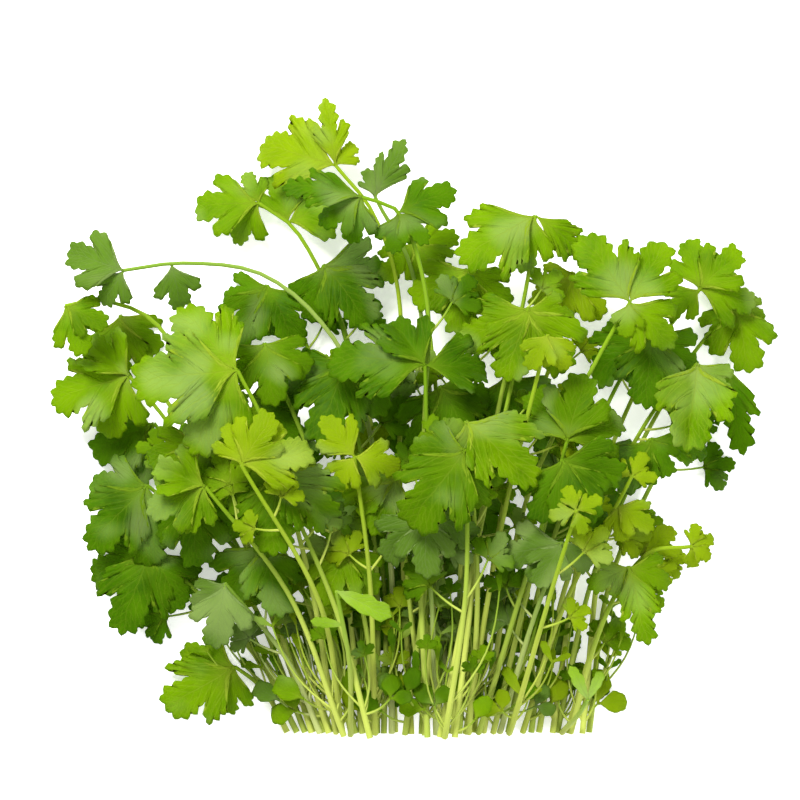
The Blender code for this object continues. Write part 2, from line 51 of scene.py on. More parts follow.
MM = 0.001

# The bunch as its solids are laid out, in millimetres
MIDDLE = (1.65, 124.6)
CUT_Y = -3
BASE_SHIFTS = (0, 1.3, -1.3, 2.6, -2.6, 4, -4)
STALK_RADIUS = 1.25
TIP_RADIUS = 0.74
FLAT_OF_HEX = math.cos(math.radians(30))
LATE_CLIMB = 1.7
EARLIER_PER_MM = 0.016

# How the blades hang, in degrees
BEND_RANGE = (22, 48)
BACK_PITCH = 16
CUP_RANGE = (12, 32)
FOLD_RANGE = (-4, 12)
SHARP_FOLD = 34
PITCH_STAGGER = (15, 0, 1, 9, -5, 5, 0)
SPREAD = 4
LOW_BEND = 9
LOW_PITCH = 5
CUP_SPAN = 0.5
PHASE_RANGE = (0, 6.28)
RIPPLE = 0.035
RIPPLE_WAVES = 5
FRILL = 0.012
FRILL_WAVES = 13
CURL_RANGE = (-0.02, 0.07)
CURL_START = 0.5
CURL_LIMIT = 1.2

# Leaflet outline as angle from the midrib and distance from the root, for a leaflet one unit long
OUTLINES = {
    "large": ((13, 0.96), (19, 0.55), (31, 0.88), (41, 0.56), (49, 0.63)),
    "medium": ((13, 0.96), (19, 0.55), (32, 0.88), (49, 0.64)),
    "small": ((13, 0.97), (21, 0.57), (37, 0.86)),
    "seed": ((9, 0.8), (16, 0.5)),
    "oval": ((15, 0.93), (27, 0.72), (42, 0.4)),
}
# Teeth on a leaflet's edge before and after its first cleft; a half starts on the tip
TEETH = {"large": (4.5, 10), "medium": (3.5, 8), "small": (2.5, 4), "seed": (0, 3), "oval": (0, 3)}
CLEFT = 2
LARGE = 30
SMALL = 13
SLIM = 0.55
WAIST = math.radians(27)
WAIST_REACH = 0.23
WAIST_GAP = 0.04
TIP_GROWTH = (0.95, 1.03)
EDGE_GROWTH = (0.93, 1.05)
EDGE_JITTER = 1.5

# Stems: way points end at the tip; a leaflet is (heading, length), then how far back and form if not plain
STEMS = (
    ("low_left", -46, 0, ((-62, 28), (-84, 52), (-105, 72)),
     ((250, 36), (204, 31), (300, 28)), 10, "dark"),
    ("left_fall", -44, 0, ((-64, 50), (-88, 82), (-106, 98)),
     ((224, 36), (270, 34), (176, 25)), 14, "dark"),
    ("foot_leaf", -50, 0, ((-56, 9), (-62, 17), (-71, 24)),
     ((210, 33), (164, 24), (256, 22)), 8, "fresh"),
    ("back_arch", -20, 0, ((-24, 90), (-40, 150), (-58, 179)),
     ((300, 28), (240, 27), (195, 20), (140, 22, 162, "low")), 14, "dark"),
    ("back_left", -42, 0, ((-74, 90), (-104, 140), (-118, 167)),
     ((265, 30), (318, 22)), 14, "fresh"),
    ("broad_back", -14, 0, ((-14, 80), (-22, 140), (-35, 187)),
     ((312, 33), (355, 28), (258, 24), (52, 25, 160, "low"), (128, 23, 160, "low"), (38, 17, 180, "low")),
     10, "dark"),
    ("mid_back", 12, 0, ((13, 60), (22, 96)),
     ((252, 31), (304, 29), (50, 26, 70, "low"), (126, 25, 70, "low"), (64, 24, 38, "low"),
      (124, 24, 38, "low"), (142, 17, 89, "low")), 10, "dark"),
    ("right_back", 52, 0, ((58, 60), (74, 113)),
     ((280, 28), (325, 26), (124, 26, 88, "low"), (52, 20, 88, "low"), (134, 18, 106, "low")), 10, "dark"),
    ("dark_left", -39, 6, ((-58, 50), (-84, 96), (-104, 123)),
     ((205, 28), (252, 28)), 14, "dark"),
    ("inner_left", -32, 10, ((-54, 50), (-88, 93)),
     ((278, 29), (325, 26), (234, 23)), 12, "dark"),
    ("front_gap", -8, 6, ((-10, 50), (-16, 98)),
     ((232, 29), (284, 30)), 10, "dark"),
    ("edge_right", 70, 4, ((80, 80), (108, 140), (132, 172)),
     ((284, 29), (240, 22), (336, 16)), 24, "fresh"),
    ("narrow_right", 73, 6, ((82, 60), (110, 120), (129, 147)),
     ((280, 36, 0, "slim"),), 10, "dark"),
    ("upper_left", -6, 12, ((-10, 90), (-25, 156), (-44, 198), (-61, 212)),
     ((178, 27), (112, 15), (104, 22, 14), (26, 25, 14), (232, 20)), 20, "fresh"),
    ("crown_back", -2, 20, ((-4, 100), (-4, 170), (-14, 206), (-30, 227)),
     ((98, 27, 0, "slim"), (162, 35), (50, 13)), 8, "young"),
    ("crown_fold", 14, 24, ((10, 110), (2, 180), (-14, 214)),
     ((64, 25, 0, "slim"), (104, 12)), 14, "pale"),
    ("back_top", 10, 14, ((12, 100), (8, 160), (2, 196)),
     ((312, 22), (228, 20), (12, 18)), 20, "fresh"),
    ("left_cluster", -40, 22, ((-62, 66), (-94, 118), (-113, 142)),
     ((194, 34), (138, 22, 0, "folded"), (248, 27)), 16, "fresh"),
    ("young_curl", 26, 16, ((38, 90), (58, 150), (66, 184)),
     ((250, 28), (302, 22), (198, 16)), 20, "young"),
    ("shade_left", -24, 28, ((-40, 80), (-64, 134)),
     ((322, 27), (14, 25)), 14, "dark"),
    ("shade_mid", -12, 22, ((-14, 70), (-26, 148)),
     ((252, 35), (206, 26), (308, 27)), 12, "dark"),
    ("mid_right", 20, 24, ((28, 80), (38, 142)),
     ((262, 31), (314, 30)), 12, "dark"),
    ("core", 6, 28, ((8, 70), (12, 138)),
     ((302, 30), (250, 28), (350, 22)), 12, "dark"),
    ("far_right", 58, 20, ((72, 84), (98, 150), (117, 177)),
     ((48, 24), (100, 21), (352, 25), (214, 18)), 20, "fresh"),
    ("arching_pair", 15, 30, ((22, 90), (27, 150), (23, 185)),
     ((262, 28), (206, 27), (322, 23)), 20, "fresh"),
    ("hook", -37, 34, ((-52, 54), (-80, 122), (-100, 161), (-122, 172), (-138, 170)),
     ((296, 21), (338, 18)), 14, "fresh"),
    ("arch", -10, 40, ((-8, 70), (-20, 134), (-36, 164), (-60, 183), (-90, 187), (-114, 184)),
     ((160, 25), (236, 18), (284, 20, 19)), 8, "pale"),
    ("ash_left", -34, 34, ((-50, 28), (-74, 59)),
     ((262, 26), (215, 17)), 8, "pale"),
    ("low_mid", -22, 30, ((-34, 40), (-59, 75)),
     ((286, 30), (236, 28)), 12, "dark"),
    ("upper_fan", -18, 38, ((-30, 80), (-58, 155)),
     ((282, 26), (334, 22), (228, 20)), 18, "rich"),
    ("low_core", -12, 34, ((-17, 36), (-26, 73)),
     ((250, 24), (200, 22), (308, 22)), 14, "fresh"),
    ("hang_right", 50, 34, ((64, 60), (94, 122), (115, 147)),
     ((262, 36, 0, "folded"), (312, 20)), 8, "fresh"),
    ("dark_right", 40, 36, ((56, 70), (80, 132), (97, 160)),
     ((264, 32), (214, 31), (318, 27)), 18, "dark"),
    ("dip_left", -28, 38, ((-46, 62), (-84, 117)),
     ((252, 27), (300, 29, 0, "folded"), (202, 24)), 14, "fresh"),
    ("mid_left", -16, 42, ((-30, 50), (-53, 104)),
     ((268, 33), (320, 30, 0, "folded"), (218, 26)), 12, "rich"),
    ("stoop", 3, 40, ((0, 50), (-4, 102)),
     ((242, 26), (196, 25, 0, "folded")), 14, "fresh"),
    ("tall_right", 18, 38, ((32, 110), (45, 170), (49, 194), (50, 206)),
     ((206, 36), (254, 24), (328, 30, 0, "slim")), 24, "fresh"),
    ("reach_right", 64, 42, ((78, 44), (94, 70), (112, 74)),
     ((332, 10), (22, 11), (278, 10), (76, 10), (48, 20, 20), (112, 15, 20)), 10, "young"),
    ("low_right", 68, 42, ((75, 36), (87, 66)),
     ((285, 32, 0, "slim"), (342, 19), (206, 18)), 14, "fresh"),
    ("curl_right", 60, 40, ((74, 62), (96, 117)),
     ((300, 17), (352, 27, 0, "slim"), (236, 24)), 20, "dark"),
    ("grey_mid", 8, 48, ((9, 44), (6, 87)),
     ((272, 25), (226, 26), (338, 25)), 12, "pale"),
    ("umbrella", 7, 46, ((4, 70), (6, 130), (7, 170), (-3, 205), (-19, 213)),
     ((165, 33, 0, "slim"), (205, 21), (252, 19), (320, 17, 16), (30, 25, 16), (262, 17, 16)), 28, "dark"),
    ("fan_right", 16, 44, ((28, 80), (47, 169)),
     ((252, 32), (205, 31), (302, 29, 0, "folded"), (350, 20)), 16, "fresh"),
    ("long_dark", 2, 52, ((7, 70), (6, 146)),
     ((166, 39), (122, 24, 0, "folded"), (2, 27, 0, "folded")), 28, "dark"),
    ("sprout_right", 46, 50, ((62, 50), (88, 102)),
     ((0, 10), (150, 11), (60, 11), (330, 17, 13), (280, 15, 13)), 10, "young"),
    ("small_left", -28, 50, ((-48, 54), (-81, 98)),
     ((200, 26), (156, 22, 0, "folded"), (246, 19)), 14, "fresh"),
    ("grey_right", 38, 52, ((48, 40), (60, 76)),
     ((240, 21), (192, 25), (318, 17), (60, 9, 24)), 12, "pale"),
    ("tuft_left", -14, 54, ((-16, 60), (-22, 110)),
     ((126, 20), (350, 20), (238, 16)), 14, "young"),
    ("perch_right", 30, 54, ((46, 90), (74, 148), (87, 171)),
     ((124, 32), (62, 28), (318, 25), (262, 14)), 14, "fresh"),
    ("spread_right", 34, 56, ((48, 60), (62, 116)),
     ((76, 29), (122, 28), (26, 28)), 8, "rich"),
    ("young_mid", 24, 60, ((36, 80), (54, 158)),
     ((240, 16), (302, 16)), 10, "young"),
    ("fold_mid", 20, 60, ((27, 60), (22, 124)),
     ((322, 36, 0, "folded"), (278, 35)), 18, "fresh"),
    ("drop_right", 28, 62, ((44, 54), (60, 109)),
     ((298, 28), (250, 27), (345, 25, 0, "folded")), 14, "dark"),
    ("big_left", -30, 62, ((-40, 60), (-56, 118), (-68, 144)),
     ((184, 42), (132, 36), (240, 36)), 12, "fresh"),
    ("seed_leaf", -20, 60, ((-24, 26), (-29, 57)),
     ((337, 25), (172, 14, 14)), 6, "seed"),
    ("face_mid", 14, 66, ((22, 56), (22, 113)),
     ((232, 39), (282, 25), (176, 23)), 8, "rich"),
    ("bright_left", -26, 66, ((-36, 52), (-66, 107)),
     ((60, 24), (14, 30), (108, 18)), 8, "young"),
    ("tuft_right", 43, 64, ((54, 50), (65, 89)),
     ((30, 11), (110, 11), (190, 11), (290, 10), (120, 15, 78, "seed")), 10, "young"),
    ("seed_pair", 66, 40, ((68, 6), (71, 13)),
     ((118, 16), (62, 14)), 4, "seed"),
)

# Fine shape, in millimetres or as shares of a leaflet's length
PATH_STEPS = 24
TAPER = 0.8
STALK_RINGS = 34
STALK_SIDES = 15
STALK_RIBS = 5
RIB_DEPTH = 0.07
NECK_WIDTH = 0.55
NECK_REACH = 0.4
CORNER_CUT = 0.25
ROUNDINGS = 3
BLADE_THICKNESS = 0.3
BLADE_ROWS = (0.22, 0.45, 0.68, 0.86, 1.0)
SMALL_ROWS = (0.4, 0.75, 1.0)
FEW_ROWS_BELOW = 16
RIB_LIFT = -0.12
SPINE_REACH = 0.8
TIP_TOOTH = 0.5
TOOTH_DEPTH = 0.055
TOOTH_POINT = 0.5
TOOTH_UNEVEN = 0.28
UNEVEN_RATE = 0.7
TEETH_START = 0.4
TEETH_FADE = 0.2
STEPS_PER_TOOTH = 4
CLEFT_CLEAR = 0.17
PUCKER = 0.045
PUCKER_INSIDE = 3.2
PUCKER_AT_EDGE = 0.3
RIB_POINTS = 9
MIDRIB_REACH = 0.74
MIDRIB_RADII = (0.4, 0.06)
SIDE_RIB_START = 0.05
SIDE_RIB_REACH = 0.5
SIDE_RIB_RADII = (0.26, 0.06)
SIDE_RIB_ANGLE = 33
SIDE_RIB_BOW = 0.03
TIP_RINGS = 2
LEAST_HEIGHT = 0.05
TINY = 1e-6

# Where a leaflet's flat points lie on the map its veins are painted by
MAP_SCALE = (0.5, 1)
MAP_START = (0.5, 0)

# How far off a solid's corners may be to count as the cut end, across and along, or as a leaflet's tip
FOOT_SEARCH = (6, 1)
TIP_SEARCH = 0.5

# Side shoots as ranges in millimetres and degrees; a start up to one is a share of the stalk
FOOT_SHOOTS = Shoots(3, (3, 16), (4, 24), (12, 50), (-2, 9), 0.1,
                     ((-48, 46), (-50, 0, 52), (8,)), "seed", (6, 11), (0.5, 0.3))
CROWN_SHOOTS = Shoots(2, (0.42, 0.84), (24, 62), (8, 19), (-5, 5), 0.04,
                      ((-58, 0, 56), (-70, -10, 50)), "seed", (9, 15), (0.55, 0.4))
SEED_SHOOTS = Shoots(1, (2, 10), (28, 74), (6, 15), (1.5, 6.5), 0.1,
                     ((-42, 38), (10,)), "oval", (10, 15), (0.55, 0.4))
SEED_SHOOT_HEIGHT = 28
SHOOT_RINGS = 9
SHOOT_SIDES = 6
SHOOT_TRIES = 14
SHOOT_RISE = 1.5
SHOOT_TONE = (0.1, 0.7)
SHOOT_CLEAR = 0.6
SHOOT_LEAF_CLEAR = 0.3
SHOOT_LEAF_TURN = 8
SHOOT_WAIST = 20
SHOOT_SIDE_LEAFLET = 0.85
LOBED_FROM = 3
RINGS_IN_STALK = 2
RIM_POINTS = 14
LOOK_AHEAD = 0.02

# Colours, linear, and the slot each look belongs to
LOOKS = {
    "fresh": Look((0.138, 0.252, 0.001), (0.058, 0.138, 0.001), (0.27, 0.37, 0.025), (0.42, 0.62, 0.005),
                  (0.60, 0.66, 0.15), "leaf_fresh"),
    "dark": Look((0.070, 0.165, 0.001), (0.027, 0.078, 0.001), (0.16, 0.26, 0.012), (0.30, 0.53, 0.004),
                 (0.46, 0.55, 0.10), "leaf_dark"),
    "rich": Look((0.088, 0.185, 0.001), (0.040, 0.102, 0.001), (0.19, 0.29, 0.014), (0.33, 0.54, 0.004),
                 (0.58, 0.65, 0.14), "leaf_fresh"),
    "young": Look((0.205, 0.305, 0.003), (0.130, 0.220, 0.002), (0.33, 0.41, 0.032), (0.53, 0.67, 0.011),
                  (0.50, 0.56, 0.11), "leaf_young"),
    "pale": Look((0.105, 0.192, 0.020), (0.068, 0.138, 0.011), (0.20, 0.29, 0.085), (0.27, 0.43, 0.035),
                 (0.58, 0.63, 0.24), "leaf_pale"),
    "seed": Look((0.22, 0.35, 0.022), (0.16, 0.28, 0.012), (0.30, 0.42, 0.10), (0.46, 0.66, 0.05),
                 (0.46, 0.51, 0.12), "leaf_seed"),
}
STALK_TIP = (0.20, 0.35, 0.015)
# Pale colour laid on the upper faces in patches: a painted sheen, standing in for the lamp's highlight
PAINTED_SHEEN = (0.40, 0.50, 0.18)
WHITE = (1, 1, 1)

# Finishes: vein width in leaflet lengths, patch and grain in millimetres, streaks as scales, else shares
# Among the upper faces' tints, one sets how strongly the painted sheen is laid on
TOP = {"width": 0.011, "patch": 16.0, "grain": 1.6, "grain_tint": 0.25, "painted_sheen_tint": 0.3,
       "root": (0.02, 0.5), "root_tint": 0.45, "vein_tint": 0.34, "vein_glow": 0.3,
       "rough": (0.38, 0.56), "bump": 0.4, "through": 0.42}
UNDER = {"width": 0.014, "patch": 12.0, "grain": 1.1, "patch_tint": 0.5, "vein_tint": 0.5, "vein_glow": 0.4,
         "rough": (0.5, 0.66), "bump": 0.5, "through": 0.42}
SKIN = {"patch": 22.0, "grain": 0.9, "patch_tint": 0.2, "streaks": (9, 3, 1), "streak_scale": 2,
        "streak_detail": 4, "streak_tint": 0.4, "rise": (0.05, 1.0), "tip_tint": 0.5,
        "rough": (0.26, 0.42), "bump": 0.25, "through": 0.3}
SPECULAR = 0.02
BUMP_DISTANCE = 0.25

# Veins of one leaflet: rays as (number in half a turn, distance where they start), side veins as rows
VEIN_WIDTH = 0.012
VEIN_ROOT = 0.04
VEIN_NOISE = (5, 2)
VEIN_WANDER = 0.16
VEIN_RAYS = ((6, 0.0), (24, 0.5), (48, 0.7))
RAY_FADE = 0.1
FORK_STRENGTH = 0.7
SIDE_VEIN_ROWS = 8.0
SIDE_VEIN_SLOPE = -1.5
SIDE_VEIN_WANDER = 0.1
SIDE_VEIN_WIDTH = 14.0
SIDE_VEIN_STRENGTH = 0.7
QUILT_CELLS = 46
QUILT_HEIGHT = 0.35

# Uneven tones: name, its size in millimetres, detail, and the noise values where it starts and is full
TONES = (("Patches", "Patch size", 14.0, 3, 0.3, 0.7),
         # Second tone: where the painted sheen is laid on the upper faces
         ("Bloom", "Bloom size", 24.0, 1, 0.52, 0.72),
         ("Grain", "Grain size", 1.4, 4, 0.3, 0.7))

# Studio, in metres and watts
CAMERA_HEIGHT = 1.8
FOCUS_HEIGHT = 0.035
PICTURE_WIDTH = 0.32
PICTURE_MIDDLE = (-0.0056, 0.0078)
SENSOR = 36
SKY = 0.75
LAMPS = (("Crown lamp", (-0.45, 0.8, 1.1), 0.6, 40, (1, 0.98, 0.94)),
         ("Fill lamp", (0.8, -0.5, 0.9), 1.0, 10, (0.97, 0.98, 1)))
FLOOR_REACH = 3
FLOOR_COLOUR = (0.93, 0.93, 0.92)
FLOOR_ROUGHNESS = 0.7
FLOOR_GLOW = 0.4

# Inputs of the stalk sweep, and places of the colour mix node's sockets
TUBE_INPUTS = (("Lines", "Geometry", None), ("Sides", "Int", None), ("Ribs", "Float", None),
               ("Rib depth", "Float", None), ("Skin", "Material", None))
MIX_INPUTS = (0, 6, 7)
MIX_RESULT = 2


def smooth_path(points, count):
    """Even points along a curve drawn through the way points, and its length."""
    knots = np.array(points, float)
    knots = np.vstack([2 * knots[0] - knots[1], knots, 2 * knots[-1] - knots[-2]])
    dense = []
    for first in range(len(knots) - 3):
        a, b, c, d = knots[first:first + 4]
        for t in np.linspace(0, 1, PATH_STEPS, endpoint=False):
            bow = (2 * a - 5 * b + 4 * c - d) * t * t
            dense.append(0.5 * (2 * b + (c - a) * t + bow + (3 * b - a - 3 * c + d) * t ** 3))
    dense.append(knots[-2])
    dense = np.array(dense)
    run = np.concatenate([[0], np.cumsum(np.linalg.norm(np.diff(dense, axis=0), axis=1))])
    even = np.linspace(0, run[-1], count)
    return np.column_stack([np.interp(even, run, dense[:, k]) for k in range(2)]), run[-1]


def stalk_line(stem, base_z, tip_z):
    """Points and radii of the stalk from its cut end to its tip, and its length."""
    flat, length = smooth_path(((stem.cut_x, CUT_Y),) + stem.way, STALK_RINGS)
    share = np.linspace(0, 1, STALK_RINGS)
    climb = share ** (LATE_CLIMB - EARLIER_PER_MM * stem.height)
    z = base_z + (tip_z - base_z) * climb
    radii = STALK_RADIUS + (TIP_RADIUS - STALK_RADIUS) * share ** TAPER
    return np.column_stack([flat - MIDDLE, z]), radii, length


def point_on(line, share):
    """The point of a line at a share of its length."""
    shares = np.linspace(0, 1, len(line))
    return np.array([np.interp(share, shares, line[:, axis]) for axis in range(3)])


def heading_of(line, step):
    """Heading of a line's last stretch, in plan."""
    ahead = line[-1] - line[-1 - step]
    return math.atan2(ahead[1], ahead[0])


def leaflets_of(stem):
    """A stem's leaflets, with what their rows leave out filled in."""
    plain = (0, "seed" if stem.look == "seed" else "lobed")
    return [Leaflet(index, math.radians(row[0]), row[1], *row[2:], *plain[len(row) - 2:])
            for index, row in enumerate(stem.leaflets)]


def blade_bend(leaflet, name, onward):
    """How one leaflet droops: alike within a leaf, staggered, arched over its own stalk."""
    whole = random.Random(name)
    rng = random.Random(f"{name} {leaflet.index}")
    bend = whole.uniform(*BEND_RANGE) + rng.uniform(-SPREAD, SPREAD)
    pitch = PITCH_STAGGER[leaflet.index] + BACK_PITCH * max(0, -math.cos(leaflet.heading - onward))
    pitch += rng.uniform(-SPREAD, SPREAD) / 2
    if leaflet.form == "low":
        bend, pitch = LOW_BEND, LOW_PITCH
    sharp = SHARP_FOLD if leaflet.form == "folded" else 0
    return {
        "bend": math.radians(bend),
        "cup": math.radians(rng.uniform(*CUP_RANGE)),
        "fold": math.radians(rng.uniform(*FOLD_RANGE) + sharp),
        "pitch": math.radians(pitch),
        "phase": rng.uniform(*PHASE_RANGE),
        "curl": random.Random(f"{name} {leaflet.index} curl").uniform(*CURL_RANGE),
        "rng": rng,
    }


def blade_frame(heading, pitch, turn):
    """Direction, side and face normal of a blade at its root."""
    level = math.cos(pitch)
    ahead = np.array((math.cos(heading) * level, math.sin(heading) * level, math.sin(pitch)))
    up = np.array((0, math.sin(turn), math.cos(turn)))
    face = up - ahead * up.dot(ahead)
    face /= np.linalg.norm(face)
    return ahead, np.cross(ahead, face), face


def bent_points(flat, lift, length, frame_of_blade, bend):
    """Where points of the flat leaflet come to lie once the blade droops, cups, folds and ripples."""
    ahead, side, face = (axis[None, :] for axis in frame_of_blade)
    across, along = np.asarray(flat, float).T[:, :, None]
    curve = bend["bend"] / length
    angle = curve * np.maximum(along, 0)
    centre = ahead * (np.sin(curve * along) / curve) - face * ((1 - np.cos(angle)) / curve)
    local_face = face * np.cos(angle) + ahead * np.sin(angle)
    cup = bend["cup"] / (CUP_SPAN * length)
    wide = side * (np.sin(cup * across) / cup)
    sink = (1 - np.cos(cup * across)) / cup - np.abs(across) * math.tan(bend["fold"])
    reach = np.hypot(across, along) / length
    around = np.arctan2(across, np.maximum(along, TINY))
    wave = RIPPLE * length * reach ** 2 * np.sin(RIPPLE_WAVES * around + bend["phase"])
    wave += FRILL * length * reach ** 3 * np.sin(FRILL_WAVES * around + 2 * bend["phase"])
    wave -= bend["curl"] * length * np.clip((reach - CURL_START) / (1 - CURL_START), 0, CURL_LIMIT) ** 2
    return centre + wide - local_face * sink + local_face * (wave + np.asarray(lift)[:, None])


def size_class(leaflet):
    """Which outline and teeth a leaflet has."""
    if leaflet.form in ("seed", "oval"):
        return leaflet.form
    if leaflet.size < SMALL:
        return "small"
    return "medium" if leaflet.size < LARGE else "large"


def edge_runs(leaflet, side, tip, waist, rng):
    """Corners of one edge of a flat leaflet, as a run from its tip to the cleft and one on to its neck."""
    size = leaflet.size
    slim = side * (SLIM if leaflet.form == "slim" else 1)
    corners = [(0, tip)]
    for angle, reach in OUTLINES[size_class(leaflet)]:
        grown = reach * rng.uniform(*EDGE_GROWTH)
        turn = math.radians(angle + rng.uniform(-EDGE_JITTER, EDGE_JITTER))
        corners.append((slim * grown * math.sin(turn) * size, grown * math.cos(turn) * size))
    reach = WAIST_REACH * size
    corners.append((slim * reach * math.sin(waist), reach * math.cos(waist)))
    corners.append((side * NECK_WIDTH, NECK_REACH * reach))
    corners.append((side * NECK_WIDTH, 0))
    split = 0 if leaflet.form in ("seed", "oval") else CLEFT
    return np.array(corners[:split + 1]), np.array(corners[split:])


def rounded(corners):
    """A run of corners with the inner ones cut round and its two ends kept."""
    for turn in range(ROUNDINGS):
        near = (1 - CORNER_CUT) * corners[:-1] + CORNER_CUT * corners[1:]
        far = CORNER_CUT * corners[:-1] + (1 - CORNER_CUT) * corners[1:]
        inner = np.stack([near, far], axis=1).reshape(-1, 2)
        corners = np.vstack([corners[:1], inner, corners[-1:]])
    return corners


def toothed(run, teeth, start, side, size, cleft):
    """Even points along a rounded run, pushed out into blunt teeth, and how near each is to a crest."""
    count = round(teeth * STEPS_PER_TOOTH) + 1
    curve = rounded(run)
    steps = np.linalg.norm(np.diff(curve, axis=0), axis=1)
    gone = np.concatenate([[0], np.cumsum(steps)])
    even = np.linspace(0, gone[-1], count)
    points = np.column_stack([np.interp(even, gone, curve[:, k]) for k in range(2)])
    onward = np.gradient(points, axis=0)
    onward /= np.linalg.norm(onward, axis=1)[:, None]
    outward = side * np.column_stack([-onward[:, 1], onward[:, 0]])
    phase = math.pi * (np.linspace(0, teeth, count) + start)
    wave = np.abs(np.sin(phase))
    wave = TOOTH_POINT * 2 * np.arcsin(wave) / math.pi + (1 - TOOTH_POINT) * wave
    wave *= 1 + TOOTH_UNEVEN * np.sin(UNEVEN_RATE * phase + size + side)
    reach = np.linalg.norm(points, axis=1) / size
    fade = np.clip((reach - TEETH_START) / TEETH_FADE, 0, 1)
    fade *= np.clip(np.linalg.norm(points - cleft, axis=1) / (CLEFT_CLEAR * size), 0, 1)
    points += outward * (TOOTH_DEPTH * size * wave * fade)[:, None]
    return points, -np.cos(2 * phase)


def edge_points(leaflet, side, tip, waist, rng):
    """One whole edge of a leaflet from tip to neck, and the crests along it."""
    before, after = edge_runs(leaflet, side, tip, waist, rng)
    few, many = TEETH[size_class(leaflet)]
    second, crest = toothed(after, many, 0, side, leaflet.size, after[0])
    points = second
    if few:
        first, first_crest = toothed(before, few, TIP_TOOTH, side, leaflet.size, after[0])
        points = np.vstack([first, second[1:]])
        crest = np.concatenate([first_crest, crest[1:]])
    points[0, 0] = 0
    return points, crest if few else crest * 0


def leaflet_mesh(leaflet, blade, waists):
    """Flat points, lifts and faces of one leaflet: rows that fan out from its midrib to every tooth."""
    rng = blade["rng"]
    size = leaflet.size
    tip = size * rng.uniform(*TIP_GROWTH)
    left, crest = edge_points(leaflet, -1, tip, waists[0], rng)
    right, crest = edge_points(leaflet, 1, tip, waists[1], rng)
    count = len(right)
    share = np.linspace(0, 1, count)
    spine = np.column_stack([np.zeros(count), SPINE_REACH * size * (1 - share) ** 2])
    rows = SMALL_ROWS if size < FEW_ROWS_BELOW else BLADE_ROWS
    points = [spine]
    lifts = [np.zeros(count)]
    for edge in (right, left):
        for row in rows:
            points.append(spine + (edge - spine) * row)
            depth = PUCKER_INSIDE * row * (1 - row) + PUCKER_AT_EDGE * row
            lifts.append(-PUCKER * size / LARGE * crest * depth)
    faces = []

    def corner(half, level, k):
        block = level if k == 0 or level == 0 else half * len(rows) + level
        return block * count + k

    for half, side in ((0, 1), (1, -1)):
        for level in range(len(rows)):
            for k in range(count - 1):
                face = (corner(half, level, k), corner(half, level, k + 1),
                        corner(half, level + 1, k + 1), corner(half, level + 1, k))
                faces.append(face[::side])
    flat = np.vstack(points)
    lift = np.concatenate(lifts)
    return flat, lift, faces


def waist_angles(headings, place):
    """How wide a leaflet may be at its waist, to the left and the right, beside its neighbours."""
    angles = []
    for step in (1, -1):
        beside = headings[(place + step) % len(headings)]
        gap = (beside - headings[place]) * step % (2 * math.pi)
        angles.append(min(WAIST, gap / 2 - WAIST_GAP) if gap > 0 else WAIST)
    return angles


def leaflet_ribs(leaflet):
    """Midrib and side ribs on the flat leaflet, each with its radii."""
    size = leaflet.size
    along = np.linspace(0, MIDRIB_REACH * size, RIB_POINTS)
    ribs = [(np.column_stack([along * 0, along]), np.geomspace(*MIDRIB_RADII, RIB_POINTS))]
    if leaflet.form == "seed":
        return ribs
    slim = SLIM if leaflet.form == "slim" else 1
    for side in (-1, 1):
        turn = math.radians(SIDE_RIB_ANGLE)
        end = SIDE_RIB_REACH * size * np.array((side * slim * math.sin(turn), math.cos(turn)))
        start = np.array((0, SIDE_RIB_START * size))
        share = np.linspace(0, 1, RIB_POINTS)[:, None]
        bow = SIDE_RIB_BOW * size * side * np.sin(math.pi * share) * np.array((1, 0))
        ribs.append((start + (end - start) * share - bow, np.geomspace(*SIDE_RIB_RADII, RIB_POINTS)))
    return ribs


def node_points(name):
    """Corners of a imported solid, in millimetres."""
    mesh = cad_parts[name].data
    flat = np.empty(3 * len(mesh.vertices), np.float32)
    mesh.vertices.foreach_get("co", flat)
    return flat.reshape(-1, 3).astype(float) / MM


def foot_of(stem, corners):
    """The stem moved to where its solid's cut end is, and the height of that end's middle."""
    off = corners[:, 0] + MIDDLE[0] - stem.cut_x
    near = (abs(off) < FOOT_SEARCH[0]) & (corners[:, 1] < CUT_Y - MIDDLE[1] + FOOT_SEARCH[1])
    found = (off[near].min() + off[near].max()) / 2
    shift = min(BASE_SHIFTS, key=lambda one: abs(one - found))
    return stem._replace(cut_x=stem.cut_x + shift), corners[near, 2].max() - STALK_RADIUS * FLAT_OF_HEX


def tip_height(stem, corners):
    """Height of the stalk's tip, read from where the solid has the tips of its leaflets."""
    root = np.array(stem.way[-1]) - MIDDLE
    line, radii, length = stalk_line(stem, 0, 0)
    onward = heading_of(line, TIP_RINGS)
    heights = []
    for leaflet in leaflets_of(stem):
        if leaflet.back:
            continue
        blade = blade_bend(leaflet, stem.name, onward)
        tip = leaflet.size * blade["rng"].uniform(*TIP_GROWTH)
        axes = blade_frame(leaflet.heading, blade["pitch"], math.radians(stem.turn))
        point = bent_points([(0, tip)], [0], leaflet.size, axes, blade)[0]
        off = np.hypot(*(corners[:, :2] - root - point[:2]).T)
        heights += list(corners[off < TIP_SEARCH, 2] - point[2])
    return float(np.median(heights))


def solid_tree():
    """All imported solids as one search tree."""
    corners = []
    faces = []
    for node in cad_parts.values():
        start = len(corners)
        corners += [tuple(corner.co / MM) for corner in node.data.vertices]
        faces += [tuple(start + corner for corner in face.vertices) for face in node.data.polygons]
    return BVHTree.FromPolygons(corners, faces)


def open_way(solids, points):
    """Whether a line of points meets no solid."""
    for start, end in zip(points, points[1:]):
        step = Vector(end - start)
        if solids.ray_cast(Vector(start), step.normalized(), step.length)[0] is not None:
            return False
    return True


def laid_leaflet(leaflet, blade, turn, waists, root):
    """A leaflet bent into place: its points, their places on the flat leaflet, and its faces."""
    axes = blade_frame(leaflet.heading, blade["pitch"], math.radians(turn))
    flat, lift, faces = leaflet_mesh(leaflet, blade, waists)
    points = bent_points(flat, lift, leaflet.size, axes, blade) + root
    return points, flat / leaflet.size * MAP_SCALE + MAP_START, faces


